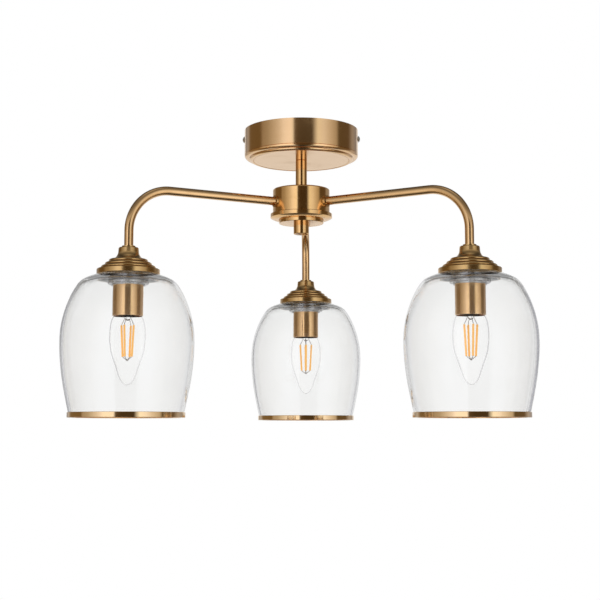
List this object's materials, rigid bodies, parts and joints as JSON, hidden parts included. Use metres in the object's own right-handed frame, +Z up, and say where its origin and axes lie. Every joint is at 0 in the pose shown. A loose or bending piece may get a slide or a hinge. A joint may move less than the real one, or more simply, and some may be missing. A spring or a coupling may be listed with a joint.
{
  "type": "semi flush ceiling light",
  "caption": "Semi flush ceiling light: round canopy on a short stem, hub with bent arms, clear bell glass shades with metal rims, and candle bulbs.",
  "frame": {"origin": "centre of the ceiling bracket's upper face, on the ceiling", "axes": "+Z up, out of the ceiling face along the stem; +Y along the rear arm; +X towards the right arm's side"},
  "size_m": [0.4628, 0.4182, 0.3039],
  "materials": {
    "bracket_steel": "zinc plated",
    "block_plastic": "matt",
    "terminal_brass": "bare",
    "screw_steel": "zinc plated",
    "canopy_screw_steel": "nickel plated",
    "rod_steel": "zinc plated",
    "carrier_steel": "zinc plated",
    "canopy_brass": "polished",
    "stem_brass": "polished",
    "hub_brass": "polished",
    "base_brass": "polished",
    "finial_brass": "polished",
    "collar_brass": "polished",
    "arm_brass": "polished",
    "gallery_brass": "polished",
    "sleeve_brass": "polished",
    "rim_brass": "polished",
    "ring_steel": "zinc plated",
    "shell_brass": "bare",
    "contact_bronze": "bare",
    "holder_plastic": "matt",
    "shade_glass": "clear",
    "bulb_glass": "clear",
    "bulb_mount_glass": "clear",
    "bulb_cap_metal": "nickel plated",
    "filament_phosphor": "matt phosphor coat",
    "lead_sheath": "matt",
    "live_insulation": "matt",
    "neutral_insulation": "matt",
    "earth_insulation": "matt"
  },
  "bodies": {
    "root": {"ceiling_bracket": "bracket_steel", "terminal_block": "block_plastic", "terminal_poles": "terminal_brass", "terminal_screws": "screw_steel", "bracket_screws": "screw_steel", "canopy": "canopy_brass", "canopy_washer": "rod_steel", "canopy_nipple": "rod_steel", "rod_nuts": "rod_steel", "stem_tube": "stem_brass", "hub_rod": "rod_steel", "hub_body": "hub_brass", "hub_base": "base_brass", "finial": "finial_brass", "arm_left": "arm_brass", "arm_right": "arm_brass", "arm_rear": "arm_brass", "arm_collars": "collar_brass", "arm_nuts": "rod_steel", "gallery_left": "gallery_brass", "gallery_right": "gallery_brass", "gallery_rear": "gallery_brass", "shade_carriers": "carrier_steel", "gallery_nuts": "rod_steel", "lampholder_left": "holder_plastic", "lampholder_right": "holder_plastic", "lampholder_rear": "holder_plastic", "sleeve_left": "sleeve_brass", "sleeve_right": "sleeve_brass", "sleeve_rear": "sleeve_brass", "holder_shells": "shell_brass", "holder_contacts": "contact_bronze", "arm_leads": "lead_sheath", "live_cores": "live_insulation", "neutral_cores": "neutral_insulation", "earth_lead": "earth_insulation"},
    "shade_left": {"shade_left": "shade_glass", "rim_left": "rim_brass"},
    "shade_ring_left": {"shade_ring_left": "ring_steel"},
    "bulb_left": {"bulb_glass_left": "bulb_glass", "bulb_cap_left": "bulb_cap_metal", "bulb_mount_left": "bulb_mount_glass", "bulb_filaments_left": "filament_phosphor"},
    "shade_right": {"shade_right": "shade_glass", "rim_right": "rim_brass"},
    "shade_ring_right": {"shade_ring_right": "ring_steel"},
    "bulb_right": {"bulb_glass_right": "bulb_glass", "bulb_cap_right": "bulb_cap_metal", "bulb_mount_right": "bulb_mount_glass", "bulb_filaments_right": "filament_phosphor"},
    "shade_rear": {"shade_rear": "shade_glass", "rim_rear": "rim_brass"},
    "shade_ring_rear": {"shade_ring_rear": "ring_steel"},
    "bulb_rear": {"bulb_glass_rear": "bulb_glass", "bulb_cap_rear": "bulb_cap_metal", "bulb_mount_rear": "bulb_mount_glass", "bulb_filaments_rear": "filament_phosphor"},
    "canopy_screw_left": {"canopy_screw_left": "canopy_screw_steel"},
    "canopy_screw_right": {"canopy_screw_right": "canopy_screw_steel"}
  },
  "joints": [
    {"name": "shade_left_lower", "type": "slide", "parent": "root", "child": "shade_left", "axis": [0, 0, -1], "range_m": [0, 0.006]},
    {"name": "shade_ring_left_turn", "type": "hinge", "parent": "shade_left", "child": "shade_ring_left", "pos_m": [-0.16628, -0.096, -0.171], "axis": [0, 0, -1], "range_deg": [0, 1440]},
    {"name": "bulb_left_out", "type": "slide", "parent": "root", "child": "bulb_left", "axis": [0, 0, -1], "range_m": [0, 0.14]},
    {"name": "shade_right_lower", "type": "slide", "parent": "root", "child": "shade_right", "axis": [0, 0, -1], "range_m": [0, 0.006]},
    {"name": "shade_ring_right_turn", "type": "hinge", "parent": "shade_right", "child": "shade_ring_right", "pos_m": [0.16628, -0.096, -0.171], "axis": [0, 0, -1], "range_deg": [0, 1440]},
    {"name": "bulb_right_out", "type": "slide", "parent": "root", "child": "bulb_right", "axis": [0, 0, -1], "range_m": [0, 0.14]},
    {"name": "shade_rear_lower", "type": "slide", "parent": "root", "child": "shade_rear", "axis": [0, 0, -1], "range_m": [0, 0.006]},
    {"name": "shade_ring_rear_turn", "type": "hinge", "parent": "shade_rear", "child": "shade_ring_rear", "pos_m": [0, 0.192, -0.171], "axis": [0, 0, -1], "range_deg": [0, 1440]},
    {"name": "bulb_rear_out", "type": "slide", "parent": "root", "child": "bulb_rear", "axis": [0, 0, -1], "range_m": [0, 0.14]},
    {"name": "canopy_screw_left_out", "type": "slide", "parent": "root", "child": "canopy_screw_left", "axis": [-1, 0, 0], "range_m": [0, 0.012]},
    {"name": "canopy_screw_right_out", "type": "slide", "parent": "root", "child": "canopy_screw_right", "axis": [1, 0, 0], "range_m": [0, 0.012]}
  ],
  "couplings": [
    {"joint": "shade_ring_left_turn", "follows": "shade_left_lower", "rad_per_m": 4188.8},
    {"joint": "shade_ring_right_turn", "follows": "shade_right_lower", "rad_per_m": 4188.8},
    {"joint": "shade_ring_rear_turn", "follows": "shade_rear_lower", "rad_per_m": 4188.8}
  ]
}
